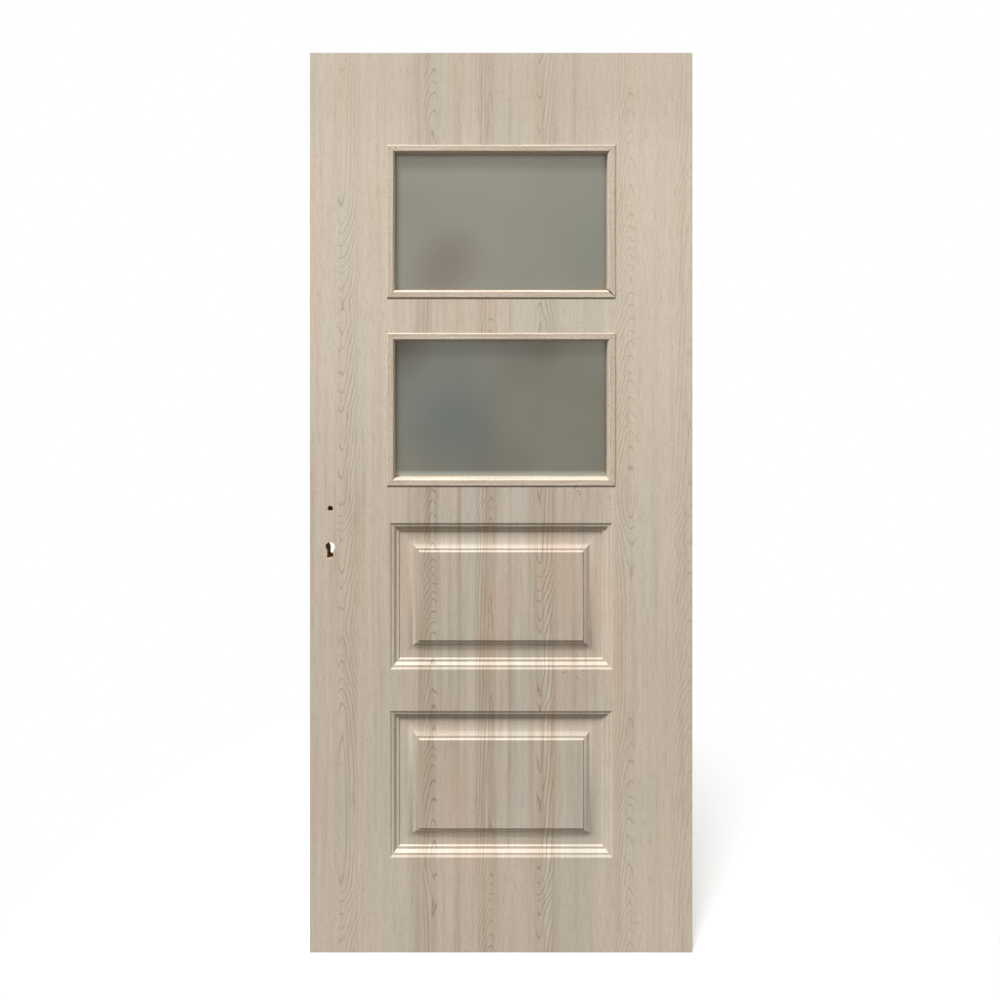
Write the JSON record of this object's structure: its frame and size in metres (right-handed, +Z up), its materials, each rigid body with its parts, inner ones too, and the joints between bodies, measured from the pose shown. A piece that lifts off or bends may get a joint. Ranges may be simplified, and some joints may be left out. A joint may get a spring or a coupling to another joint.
{
  "type": "door leaf",
  "caption": "Film-faced wood plastic composite door leaf with frosted glass lights in mitred beads over raised moulded panels, bored for a handle spindle and lock cylinder.",
  "frame": {"origin": "on the hinge edge's flat face, at the leaf's lower edge and the middle of its thickness", "axes": "+X out of the hinge edge, +Y from the front face to the back face, +Z up the leaf's height"},
  "size_m": [0.85, 0.044, 2],
  "materials": {
    "grain_film": "satin",
    "bead_film": "satin",
    "edge_band": "satin",
    "composite_core": "matte",
    "frosted_glass": "matte"
  },
  "bodies": {
    "root": {"lock_stile": "composite_core", "hinge_stile": "composite_core", "top_rail": "composite_core", "light_rail": "composite_core", "lock_rail": "composite_core", "panel_rail": "composite_core", "bottom_rail": "composite_core", "front_skin": "grain_film", "back_skin": "grain_film", "lock_edge_band": "edge_band", "hinge_edge_band": "edge_band", "upper_glass": "frosted_glass", "lower_glass": "frosted_glass", "front_upper_top_bead": "bead_film", "front_upper_bottom_bead": "bead_film", "front_upper_lock_bead": "bead_film", "front_upper_hinge_bead": "bead_film", "front_lower_top_bead": "bead_film", "front_lower_bottom_bead": "bead_film", "front_lower_lock_bead": "bead_film", "front_lower_hinge_bead": "bead_film", "back_upper_top_bead": "bead_film", "back_upper_bottom_bead": "bead_film", "back_upper_lock_bead": "bead_film", "back_upper_hinge_bead": "bead_film", "back_lower_top_bead": "bead_film", "back_lower_bottom_bead": "bead_film", "back_lower_lock_bead": "bead_film", "back_lower_hinge_bead": "bead_film"}
  },
  "joints": []
}
